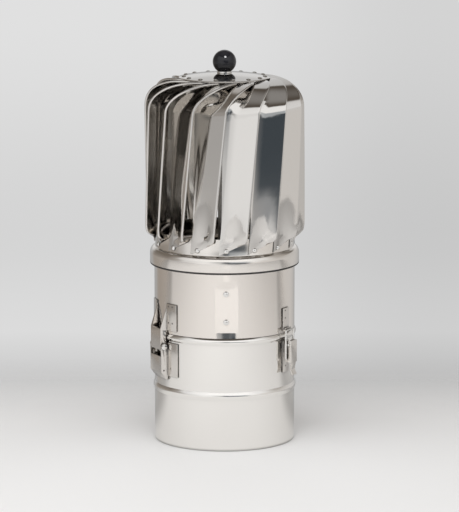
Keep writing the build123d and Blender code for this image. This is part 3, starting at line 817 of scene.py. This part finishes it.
@dataclass(frozen=True)
class Tubes:
    """Base pipe, and the head tube with its flats pressed over the spider's legs; millimetres and degrees."""

    radius: float = 75.0
    sheet: float = 0.8
    height: float = 121.0
    segments: int = 128
    edge: float = 0.2
    bead: float = 59.0
    bead_width: float = 9.0
    bead_rise: float = 1.4
    rim_width: float = 7.0
    rim_rise: float = 1.6
    head_bottom: float = 121.3
    head_length: float = 82.0
    head_segments: int = 288
    head_edge: float = 0.25
    flat_depth: float = 1.05
    flat_reach: float = 20.0
    flat_middle: float = 150.0
    flat_top: float = 173.0
    flat_fade: float = 11.0
    flat_foot: float = 6.2
    foot_bend: float = 0.3
    legs: tuple[float, ...] = (1.4, 121.4, 241.4)

    def build(self, shop: Shop) -> None:
        """Make both tubes.

        Args:
            shop: Where pieces are finished.
        """
        outer = [(self.radius - self.edge, 0.0), (self.radius, self.edge)]
        outer += self._roll(self.bead, self.bead_width, self.bead_rise, 16)
        outer += self._roll(self.height - self.rim_width / 2, self.rim_width, self.rim_rise, 14)
        inner = [(r - self.sheet, z) for r, z in reversed(outer[1:])]
        wall = outer + inner + [(self.radius - self.sheet, 0.0)]
        bm = shop.lathe(wall, self.segments)
        shop.piece("pipe_skin", bm, "tube", Body.BASE, ["base_pipe"], sharp=10.0)
        top = self.head_bottom + self.head_length
        foot = self.head_bottom + self.flat_foot
        heights = [self.head_bottom + self.head_edge, foot - self.foot_bend, foot, foot + self.foot_bend]
        heights += [self.flat_middle, self.flat_top]
        heights += [self.flat_top + self.flat_fade * step / 8 for step in range(1, 9)]
        heights += [top - self.head_edge]
        wall = [(self.radius - self.head_edge, self.head_bottom)] + [(self.radius, z) for z in heights]
        wall += [(self.radius - self.head_edge, top)]
        wall += [(self.radius - self.sheet, z) for z in [top] + heights[-2::-1] + [self.head_bottom]]
        bm = shop.lathe(wall, self.head_segments)
        for vert in bm.verts:
            vert.co = self._flattened(vert.co)
        shop.piece("head_tube_skin", bm, "head", Body.HEAD, ["housing_tube"], sharp=4.0)

    def _flattened(self, point: Vector) -> Vector:
        """Press a point of the head tube flat where it lies over a leg of the bearing spider.

        Args:
            point: Point of the round tube, in metres.

        Returns:
            The pressed point.
        """
        radius = math.hypot(point.x, point.y) / MM
        angle = math.degrees(math.atan2(point.x, -point.y))
        fade = min(1.0, max(0.0, (point.z / MM - self.flat_top) / self.flat_fade))
        foot = min(1.0, max(0.0, (point.z / MM - self.head_bottom) / self.flat_foot))
        share = (1 - fade * fade * (3 - 2 * fade)) * foot
        for leg in self.legs:
            aside = (angle - leg + 180) % 360 - 180
            if abs(aside) < self.flat_reach:
                limit = (radius - self.flat_depth) / math.cos(math.radians(aside))
                if limit < radius:
                    return at(radius + (limit - radius) * share, angle, point.z / MM)
        return point

    def _roll(self, middle: float, width: float, rise: float, steps: int) -> list[Pair]:
        """Points of a rolled bead on the wall.

        Args:
            middle: Height of its middle.
            width: Height of the roll.
            rise: How far it stands out.
            steps: Number of spans.

        Returns:
            Profile points.
        """
        points = []
        for step in range(steps + 1):
            share = step / steps
            lift = rise * math.sin(math.pi * share)
            points.append((self.radius + lift, middle + width * (share - 0.5)))
        return points


@dataclass(frozen=True)
class Ring:
    """Rotor ring with its curled skirt, rolled shoulder and neck, in millimetres.

    The sections of the curl, its inner edge and the lip, a near-black band that paints the shade under the
    curl, start from the skirt's lower outer corner, and the neck's bend from the lower end of the neck.
    """

    radius: float = 79.7
    bottom: float = 190.3
    skirt: float = 12.2
    shoulder: float = 8.0
    neck_radius: float = 74.0
    neck_height: float = 16.5
    wall: float = 0.72
    inner_drop: float = 0.3
    bend_start: float = 1.0
    bend_height: float = 7.6
    neck_ledge: float = 0.8
    segments: int = 128
    curl: Profile = ((-1.5, 0.0), (-0.9, 0.15), (-0.3, 0.7), (0.0, 1.6))
    inner_edge: Profile = ((-1.9, 0.8),)
    neck_bend: Profile = ((0.25, -1.1), (0.0, -0.4))
    # Section of the near-black band that paints the shade under the curl.
    lip: Profile = (
        (-1.6, 0.0), (-0.85, 0.1), (-0.22, 0.7), (0.02, 1.5), (0.02, 2.2), (-0.5, 2.2), (-1.6, 0.6)
    )

    def build(self, shop: Shop) -> None:
        """Make the ring and the near-black band that paints the shade under the curl of its skirt.

        Args:
            shop: Where pieces are finished.
        """
        bend = self.bottom + self.skirt - self.bend_start
        neck_bottom = self.bottom + self.skirt + self.shoulder
        outer = self._from_corner(self.curl)
        outer += [(self.radius, bend)]
        depth = self.radius - self.neck_radius - self.neck_ledge
        for step in range(1, 15):
            turn = math.radians(90 * step / 14)
            height = bend + self.bend_height * math.sin(turn)
            outer.append((self.radius - depth * (1 - math.cos(turn)), height))
        outer += [(self.neck_radius + radius, neck_bottom + height) for radius, height in self.neck_bend]
        outer += [(self.neck_radius, neck_bottom + self.neck_height)]
        inner = []
        for radius, height in reversed(outer[3:]):
            drop = self.inner_drop if height < neck_bottom else 0.0
            inner.append((radius - self.wall, height - drop))
        inner += self._from_corner(self.inner_edge)
        bm = shop.lathe(outer + inner, self.segments)
        shop.piece("ring_skin", bm, "ring", Body.ROTOR, ["rotor_ring"])
        # A near-black band on the skirt's curl paints the shade beneath it.
        bm = shop.lathe(self._from_corner(self.lip), self.segments)
        shop.piece("skirt_painted_shade", bm, "lip", Body.ROTOR)

    def _from_corner(self, section: Profile) -> list[Pair]:
        """Move a section to the skirt's lower outer corner."""
        return [(self.radius + radius, self.bottom + height) for radius, height in section]


@dataclass(frozen=True)
class Station:
    """Place along a vane: rise above the ring, degrees over the shoulder, reach in under the disc."""

    rise: float
    arch: float = 0.0
    reach: float = 0.0


@dataclass(frozen=True)
class Vanes:
    """Folded vanes with rolled hems, in millimetres and degrees.

    Attributes:
        count: Number of vanes.
        sheet: Thickness of the sheet.
        hem: Width of the rolled hem.
        hem_radius: Radius of the upright hem.
        foot: Height of the vanes' lower end.
        neck_height: Height of the ring's neck.
        height: Height of the upright part.
        corner: Radius of the hem's bend over the shoulder.
        hem_angle: Angle of the first hem at the shoulder.
        lean: Degrees that the hem leans for each millimetre of height.
        swirl: Degrees that the hem turns for each millimetre inwards.
        cut: Height of the slanting cut at the foot.
        tab_radius: Radius of the tab's outer face on the neck.
        tab_share: Place of the tab between crease and hem.
        press_end: Rise at which the press of the tab has run out.
        depth: How far the crease runs in on its way up.
        tuck: How far the crease runs in over the shoulder.
        reach_low: Angle from hem to crease at the foot.
        reach_high: Angle from hem to crease at the shoulder.
        roll_over: Degrees that the crease turns over the shoulder.
        flank: Width of the flank at the shoulder, in degrees.
        inside_column: First column of faces on the inside.
        end_radius: Radius of the inner end.
        foot_round: Rounding of the hem's lower corner.
        end_turn: Degrees that the crease turns under the disc.
        crease_corner: How far the crease climbs over the shoulder.
        flank_bulge: Degrees that the flank widens half way over the shoulder.
        least_flank: Least width of the flank.
        hem_steps: Spans of the rolled hem.
    """

    count: int = 15
    sheet: float = 0.5
    hem: float = 2.4
    hem_radius: float = 86.0
    foot: float = 210.5
    neck_height: float = 16.5
    height: float = 147.0
    corner: float = 31.5
    hem_angle: float = 1.0
    lean: float = 0.0675
    swirl: float = 1.06
    cut: float = 12.0
    tab_radius: float = 74.96
    tab_share: float = 0.45
    press_end: float = 67.6
    depth: float = 4.0
    tuck: float = 24.0
    reach_low: float = 19.0
    reach_high: float = 18.0
    roll_over: float = 27.0
    flank: float = 9.0
    inside_column: int = 19
    end_radius: float = 41.0
    foot_round: float = 8.0
    end_turn: float = 6.2
    crease_corner: float = 28.0
    flank_bulge: float = 4.0
    least_flank: float = 0.8
    hem_steps: int = 11

    def build(self, shop: Shop) -> None:
        """Make every vane from the first one.

        Args:
            shop: Where pieces are finished.
        """
        for number in range(self.count):
            bm = self._first()
            turn = Matrix.Rotation(math.tau * number / self.count, 4, "Z")
            bmesh.ops.transform(bm, matrix=turn, verts=bm.verts)
            name = f"vane_{number + 1:02d}"
            skin = shop.piece(name + "_skin", bm, "vane", Body.ROTOR, [name], sharp=28.0)
            skin.data.materials.append(shop.finisher.material("vane_inside"))

    def _first(self) -> BMesh:
        """Skin the outlines of the first vane.

        Returns:
            The bmesh.
        """
        stations = self._stations()
        bm = bmesh.new()
        rows = []
        for index, station in enumerate(stations):
            before = stations[max(index - 1, 0)]
            after = stations[min(index + 1, len(stations) - 1)]
            rows.append([bm.verts.new(point) for point in self._outline(station, before, after)])
        for low, high in zip(rows, rows[1:]):
            corners = zip(low, low[1:] + low[:1], high[1:] + high[:1], high)
            for column, (a, b, c, d) in enumerate(corners):
                face = bm.faces.new((a, b, c, d))
                face.material_index = int(column >= self.inside_column)
        bm.faces.new(rows[0])
        bm.faces.new(rows[-1])
        return bm

    def _stations(self) -> list[Station]:
        """Places along a vane, closer together near its foot.

        Returns:
            Stations from the foot to the inner end.
        """
        lower = [0.0, 5.0, 11.0, self.neck_height, 22.0, 28.0, 35.0, 43.0, 52.0, 62.0]
        lower += [73.0, 85.0, 97.0, 109.0, 121.0, 132.0, 140.0]
        stations = [Station(rise) for rise in lower]
        stations += [Station(self.height, arch) for arch in range(0, 91, 6)]
        full = self.hem_radius - self.corner - self.end_radius
        stations += [Station(self.height, 90.0, full * share) for share in (0.25, 0.5, 0.75, 1.0)]
        return stations

    def _hem_point(self, station: Station) -> Vector:
        """Point on the hem.

        Args:
            station: Place along the vane.

        Returns:
            The point in metres.
        """
        arch = math.radians(station.arch)
        rise = max(station.rise, self.cut + station.rise * (1 - self.cut / self.neck_height))
        radius = self.hem_radius - self.corner * (1 - math.cos(arch)) - station.reach
        height = self.foot + rise
        angle = self.hem_angle - self.lean * (self.height - rise) + self.swirl * (self.hem_radius - radius)
        low = min(1.0, max(0.0, 1 - (rise - self.cut) / self.foot_round))
        radius -= self.foot_round * (1 - math.sqrt(1 - low * low))
        return at(radius, angle, height + self.corner * math.sin(arch))

    def _share(self, station: Station) -> float:
        """Share of the vane's height above the neck."""
        return max(0.0, (station.rise - self.neck_height) / (self.height - self.neck_height))

    def _crease(self, station: Station) -> tuple[float, float, float]:
        """Place of the crease.

        Args:
            station: Place along the vane.

        Returns:
            Radius, angle and height.
        """
        share = self._share(station)
        arch = math.radians(station.arch)
        end = station.reach / (self.hem_radius - self.corner - self.end_radius)
        radius = self.tab_radius - self.depth * share - self.tuck * (1 - math.cos(arch))
        radius -= end * (self.tab_radius - self.depth - self.tuck - self.end_radius)
        upright = self.hem_angle - self.lean * (self.height - station.rise)
        angle = upright - self.reach_low + (self.reach_low - self.reach_high) * share
        angle += self.roll_over * station.arch / 90 + self.end_turn * end
        return radius, angle, self.foot + station.rise + self.crease_corner * math.sin(arch)

    def _press(self, rise: float) -> float:
        """Share of the press that lays the sheet on the neck.

        Args:
            rise: Height above the foot.

        Returns:
            Share from 0 to 1.
        """
        if rise <= self.neck_height:
            return 1.0
        return max(0.0, 1 - (rise - self.neck_height) / (self.press_end - self.neck_height)) ** 2

    def _outline(self, station: Station, before: Station, after: Station) -> list[Vector]:
        """Closed outline of the sheet at one station.

        Args:
            station: Place along the vane.
            before: Station before it.
            after: Station after it.

        Returns:
            Points in metres.
        """
        radius, angle, height = self._crease(station)
        crease = at(radius, angle, height)
        hem_end = self._hem_point(station)
        travel = self._hem_point(after) - self._hem_point(before)
        if station.arch == 0:
            travel = Vector((0.0, 0.0, 1.0))
        across = (hem_end - crease).normalized()
        back = travel.cross(across).normalized()
        turn = math.radians(station.arch)
        spread = self.flank * self._share(station) ** 1.2 * math.cos(turn)
        spread += self.flank_bulge * math.sin(2 * turn)
        if station.reach == 0 and math.radians(spread) * radius > self.least_flank:
            flank = at(radius, angle - spread, height)
            flank_back = travel.cross((crease - flank).normalized()).normalized()
        else:
            flank = crease - across * self.least_flank * MM
            flank_back = back
        fold_back = (back + flank_back).normalized()
        press = self._press(station.rise) if station.arch == 0 else 0.0
        tab = crease + (hem_end - crease) * self.tab_share
        if press:
            flat = Vector((tab.x, tab.y, 0.0))
            inward = flat.dot(back)
            room = max(0.0, inward**2 - flat.dot(flat) + (self.tab_radius * MM) ** 2)
            tab = tab + back * ((-inward - math.sqrt(room)) * press)
        sheet = self.sheet * MM
        roll = self.hem * MM / 2
        lip = hem_end - across * (2 * roll)
        centre = hem_end - across * roll + back * roll
        curl = []
        for step in range(self.hem_steps + 1):
            phase = math.radians(-90 + 270 * step / self.hem_steps)
            curl.append(centre + across * (roll * math.cos(phase)) + back * (roll * math.sin(phase)))
        near = tab + (lip - tab) * 0.5
        return [
            flank,
            flank + (crease - flank) * 0.5,
            crease,
            crease + (tab - crease) * 0.5,
            tab,
            near,
            lip,
            *curl,
            lip + back * sheet,
            near + back * sheet,
            tab + back * sheet,
            crease + (tab - crease) * 0.5 + back * sheet,
            crease + fold_back * sheet,
            flank + (crease - flank) * 0.5 + flank_back * sheet,
            flank + flank_back * sheet,
        ]


@dataclass(frozen=True)
class Crown:
    """Domed disc and the ball knob on its washer, in millimetres."""

    radius: float = 48.5
    sheet: float = 0.8
    rim: float = 389.05
    rise: float = 4.6
    edge: float = 0.3
    under_edge: float = 0.1
    washer_radius: float = 8.0
    washer: float = 2.1
    washer_edges: Pair = (0.2, 0.7)
    knob: float = 25.0
    knob_height: float = 22.0
    bore: float = 3.05
    bore_depth: float = 11.05

    @property
    def top(self) -> float:
        """Height of the dome's middle."""
        return self.rim + self.sheet + self.rise

    @property
    def dome(self) -> float:
        """Radius of the dome's curve."""
        return (self.radius**2 + self.rise**2) / (2 * self.rise)

    def build(self, shop: Shop) -> bpy.types.Object:
        """Make disc, washer and knob.

        Args:
            shop: Where pieces are finished.

        Returns:
            The knob.
        """
        across = self.radius - self.bore
        outline = []
        for step in range(25):
            outline.append(self._on_dome(self.bore + (across - self.edge) * step / 24, 0.0))
        outline.append((self.radius, outline[-1][1] - self.edge))
        for step in range(12, -1, -1):
            outline.append(self._on_dome(self.bore + (across - self.under_edge) * step / 12, self.sheet))
        shop.piece("disc_skin", shop.lathe(outline, 96), "vane", Body.ROTOR, ["top_disc"])
        low = self.top
        high = low + self.washer
        soft, softer = self.washer_edges
        washer = [(self.bore, low), (self.washer_radius - soft, low), (self.washer_radius, low + soft)]
        washer += [(self.washer_radius, high - softer), (self.washer_radius - softer, high)]
        washer += [(self.bore, high)]
        shop.piece("washer_skin", shop.lathe(washer, 48), "fastener", Body.ROTOR, ["knob_washer"])
        ball = self.knob / 2
        centre = high + self.knob_height - ball
        start = math.degrees(math.asin((high - centre) / ball))
        outline = [(self.bore, high)] + arc((0.0, centre), ball, start, 90.0, 40)
        outline += [(0.0, high + self.bore_depth), (self.bore, high + self.bore_depth)]
        return shop.piece("knob_skin", shop.lathe(outline, 64), "knob", Body.ROTOR, ["ball_knob"])

    def _on_dome(self, radius: float, under: float) -> Pair:
        """Point of the dome's section.

        Args:
            radius: Distance from the axis.
            under: Depth below the upper face.

        Returns:
            Radius and height.
        """
        curve = self.dome - under
        return radius, self.top - self.dome + math.sqrt(curve**2 - radius**2)


@dataclass(frozen=True)
class Spot:
    """One weld spot on a bracket.

    Attributes:
        place: Point on the surface, in metres.
        normal: Outward direction of the surface.
        body: Body that carries it.
    """

    place: Vector
    normal: Vector
    body: Body


@dataclass(frozen=True)
class Spots:
    """Weld spots of the hinge and latch plates, dark to paint the shade of their dimples, in millimetres and
    degrees.
    """

    radius: float = 1.15
    taper: float = 0.7
    rise: float = 0.15
    hinge_face: float = 76.28
    hinge_angles: Pair = (-50.9, -46.4)
    hinge_heights: Pair = (151.0, 133.5)
    hinge_middle: float = -62.0
    cheek_radius: float = 79.6
    cheek_face: float = 12.92
    cheek_height: float = 82.0
    latch_face: float = 76.42
    latch_middle: float = 59.0
    keeper_angle: float = 57.6
    keeper_heights: Pair = (145.5, 137.5)
    latch_angle: float = 58.0
    latch_height: float = 86.0

    def build(self, shop: Shop) -> None:
        """Make one piece of spots for each body.

        Args:
            shop: Where pieces are finished.
        """
        spots = self._all()
        for body in (Body.BASE, Body.HEAD):
            bm = bmesh.new()
            for spot in spots:
                if spot.body is body:
                    turn = Vector((0.0, 0.0, 1.0)).rotation_difference(spot.normal).to_matrix().to_4x4()
                    bmesh.ops.create_cone(
                        bm,
                        cap_ends=True,
                        segments=14,
                        radius1=self.radius * MM,
                        radius2=self.radius * self.taper * MM,
                        depth=self.rise * MM,
                        matrix=Matrix.Translation(spot.place) @ turn,
                    )
            shop.piece(f"{body.value}_spots", bm, "spot", body)

    def _all(self) -> list[Spot]:
        """Every spot of the plates.

        Returns:
            Spots in the order of hinge, keeper, latch and cheek.
        """
        found = []
        for angle in self.hinge_angles:
            for height in self.hinge_heights:
                outward = at(1.0, angle, 0.0).normalized()
                found.append(Spot(at(self.hinge_face, angle, height), outward, Body.HEAD))
        outward = at(1.0, self.latch_middle, 0.0).normalized()
        for height in self.keeper_heights:
            found.append(Spot(at(self.latch_face, self.keeper_angle, height), outward, Body.HEAD))
        found.append(Spot(at(self.latch_face, self.latch_angle, self.latch_height), outward, Body.BASE))
        side = math.radians(self.hinge_middle)
        tangent = Vector((math.cos(side), math.sin(side), 0.0))
        cheek = at(self.cheek_radius, self.hinge_middle, self.cheek_height) + tangent * (self.cheek_face * MM)
        found.append(Spot(cheek, tangent, Body.BASE))
        return found


FRAME_FINISHES: dict[str, tuple[str, Body, float]] = {
    "hinge_upper_bracket": ("bracket", Body.HEAD, 0.3),
    "hinge_lower_bracket": ("bracket", Body.BASE, 0.3),
    "hinge_pin": ("fastener", Body.BASE, 0.3),
    "latch_base": ("bracket", Body.BASE, 0.25),
    "latch_lever": ("bracket", Body.LEVER, 0.3),
    "latch_lever_pin": ("fastener", Body.BASE, 0.2),
    "latch_keeper": ("bracket", Body.HEAD, 0.25),
    "latch_bail": ("fastener", Body.BAIL, 0.0),
    "ring_rivets": ("fastener", Body.ROTOR, 0.0),
    "disc_rivets": ("fastener", Body.ROTOR, 0.0),
    "spider_rivets": ("fastener", Body.HEAD, 0.0),
    "bearing_spider": ("plain", Body.HEAD, 0.3),
    "axle": ("plain", Body.HEAD, 0.0),
    "axle_nuts": ("plain", Body.HEAD, 0.3),
    "bearing_spacer": ("plain", Body.HEAD, 0.0),
    "upper_bearing_inner": ("plain", Body.HEAD, 0.2),
    "lower_bearing_inner": ("plain", Body.HEAD, 0.2),
    "bearing_hub": ("plain", Body.ROTOR, 0.3),
    "upper_bearing_outer": ("plain", Body.ROTOR, 0.2),
    "lower_bearing_outer": ("plain", Body.ROTOR, 0.2),
    "knob_stud": ("plain", Body.ROTOR, 0.0),
    "knob_nut": ("plain", Body.ROTOR, 0.2),
}


def main() -> None:
    """Build the object and its set."""
    logging.basicConfig(level=logging.INFO)
    bpy.ops.wm.read_factory_settings(use_empty=True)
    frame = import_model()
    shop = Shop(frame)
    studio = Studio()
    studio.build()
    Tubes().build(shop)
    Ring().build(shop)
    Vanes().build(shop)
    studio.spark(Crown().build(shop))
    Spots().build(shop)
    for node, (finish, body, width) in FRAME_FINISHES.items():
        shop.softened(node, finish, body, width)


if __name__ == "__main__":
    main()
